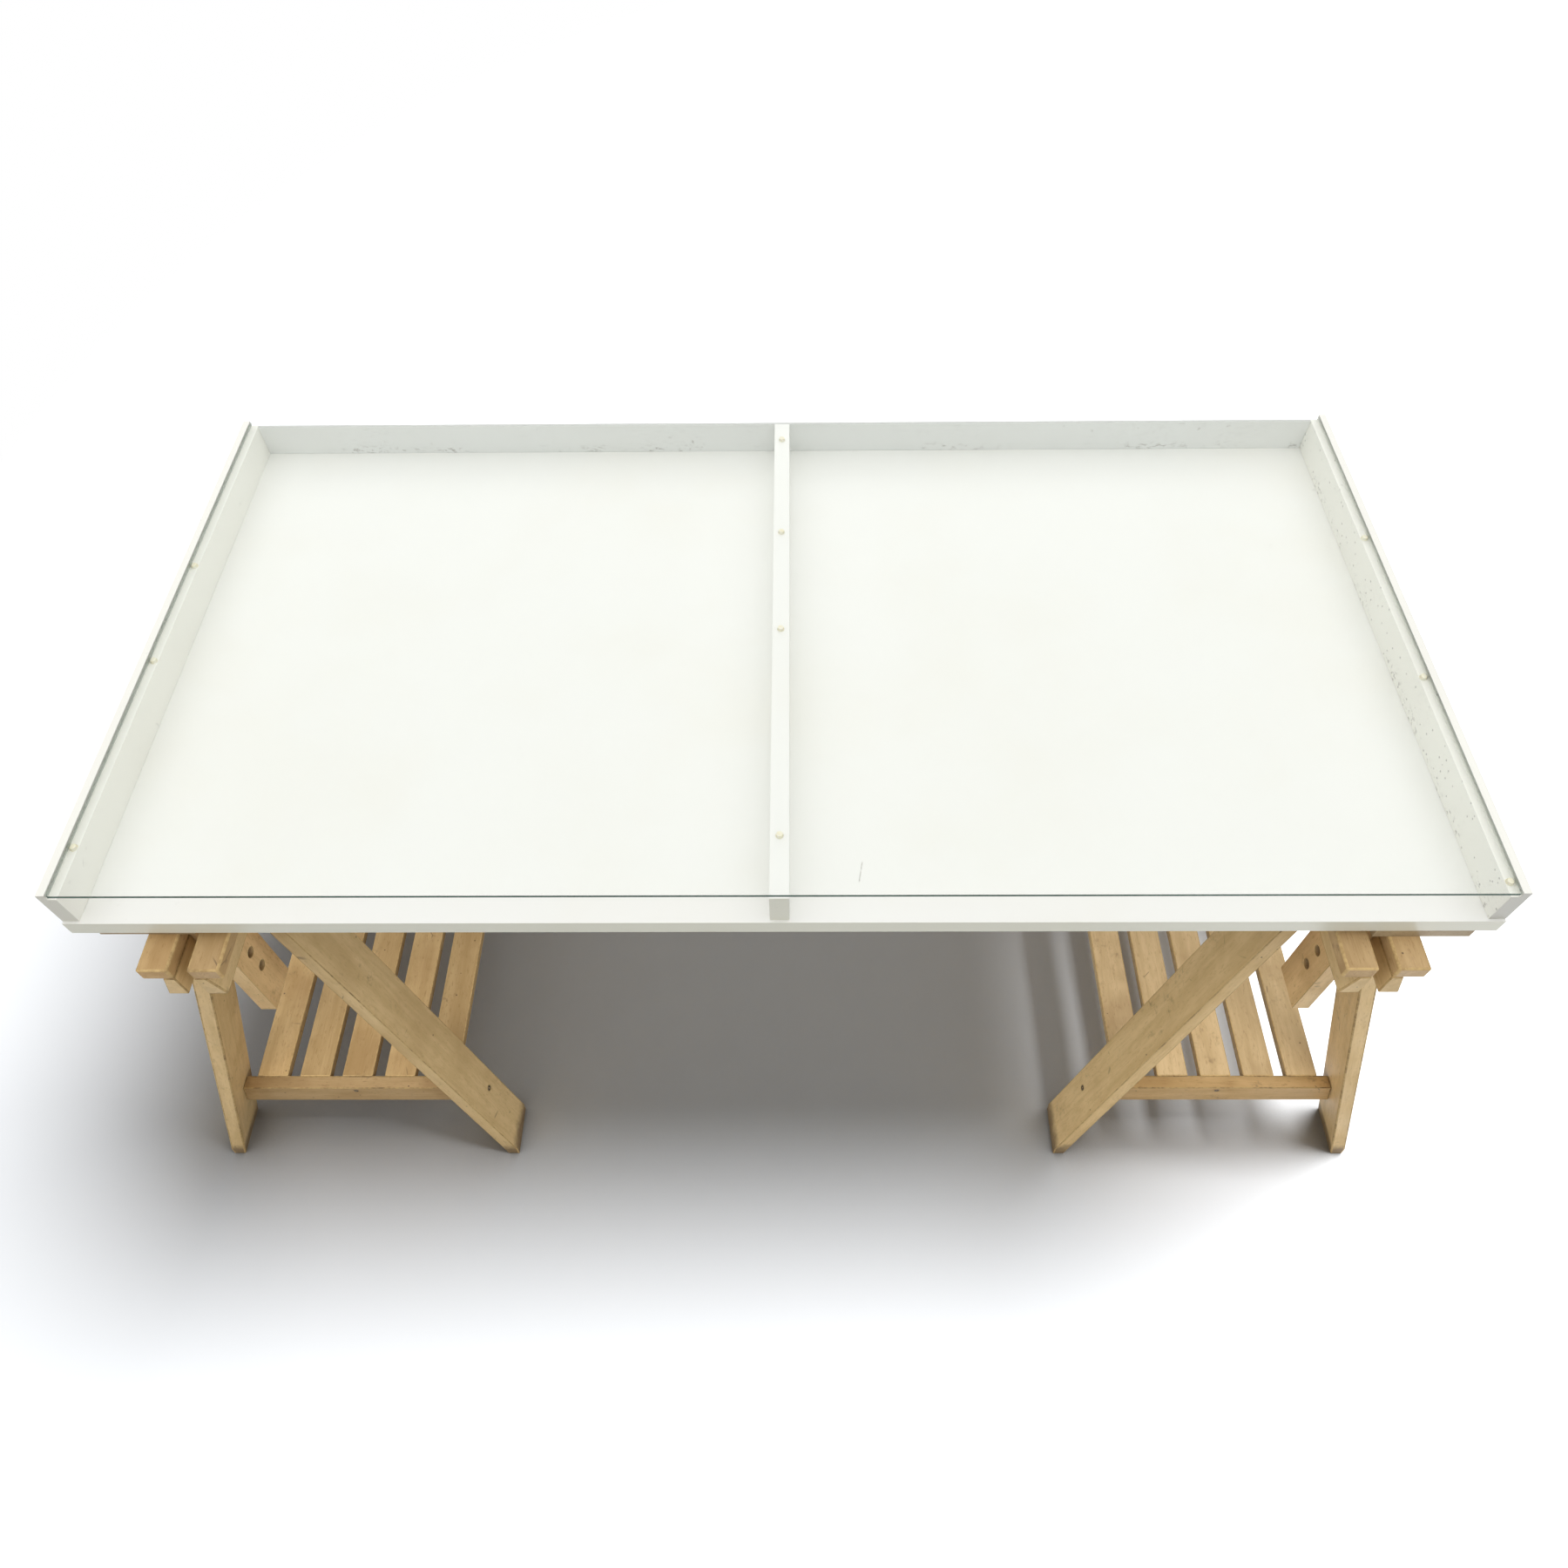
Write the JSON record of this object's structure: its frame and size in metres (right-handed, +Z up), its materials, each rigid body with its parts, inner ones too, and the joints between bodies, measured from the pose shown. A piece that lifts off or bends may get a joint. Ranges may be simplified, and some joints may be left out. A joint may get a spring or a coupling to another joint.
{
  "type": "trestle table",
  "caption": "White display tray with a loose glass top and an open front, standing on two splayed birch trestles with rising heads and slatted shelves.",
  "frame": {"origin": "on the floor, under the middle of the table's box", "axes": "+Z up; +X along the table's length to the right; +Y from the open front to the back"},
  "size_m": [1.7082, 0.785, 0.787],
  "materials": {
    "birch": "clear matt lacquer, worn",
    "white_board": "white satin lacquer",
    "glass": "clear, ground edges",
    "bumper": "clear, yellowed",
    "screw_steel": "dull, darkened"
  },
  "bodies": {
    "left_base": {"left_outer_base_rail": "birch", "left_outer_front_leg": "birch", "left_outer_back_leg": "birch", "left_inner_base_rail": "birch", "left_inner_front_leg": "birch", "left_inner_back_leg": "birch", "left_front_spacer": "birch", "left_front_shelf_rail": "birch", "left_back_spacer": "birch", "left_back_shelf_rail": "birch", "left_shelf_slat_1": "birch", "left_shelf_slat_2": "birch", "left_shelf_slat_3": "birch", "left_shelf_slat_4": "birch", "left_shelf_slat_5": "birch"},
    "top": {"tray_floor": "white_board", "left_tray_wall": "white_board", "right_tray_wall": "white_board", "back_tray_wall": "white_board", "tray_divider": "white_board", "glass_bumpers": "bumper", "left_tray_cleat": "birch", "right_tray_cleat": "birch", "left_outer_head_rail": "birch", "left_inner_head_rail": "birch", "right_outer_head_rail": "birch", "right_inner_head_rail": "birch", "left_front_post": "birch", "left_back_post": "birch", "right_front_post": "birch", "right_back_post": "birch"},
    "right_base": {"right_outer_base_rail": "birch", "right_outer_front_leg": "birch", "right_outer_back_leg": "birch", "right_inner_base_rail": "birch", "right_inner_front_leg": "birch", "right_inner_back_leg": "birch", "right_front_spacer": "birch", "right_front_shelf_rail": "birch", "right_back_spacer": "birch", "right_back_shelf_rail": "birch", "right_shelf_slat_1": "birch", "right_shelf_slat_2": "birch", "right_shelf_slat_3": "birch", "right_shelf_slat_4": "birch", "right_shelf_slat_5": "birch"},
    "glass": {"glass_top": "glass"}
  },
  "joints": [
    {"name": "left_height", "type": "slide", "parent": "left_base", "child": "top", "axis": [0, 0, 1], "range_m": [0, 0.13]},
    {"name": "right_height", "type": "slide", "parent": "top", "child": "right_base", "axis": [0, 0, -1], "range_m": [0, 0.13]},
    {"name": "glass_lift", "type": "slide", "parent": "top", "child": "glass", "axis": [0, 0, 1], "range_m": [0, 0.15]}
  ],
  "couplings": [
    {"joint": "right_height", "follows": "left_height", "ratio": 1}
  ]
}
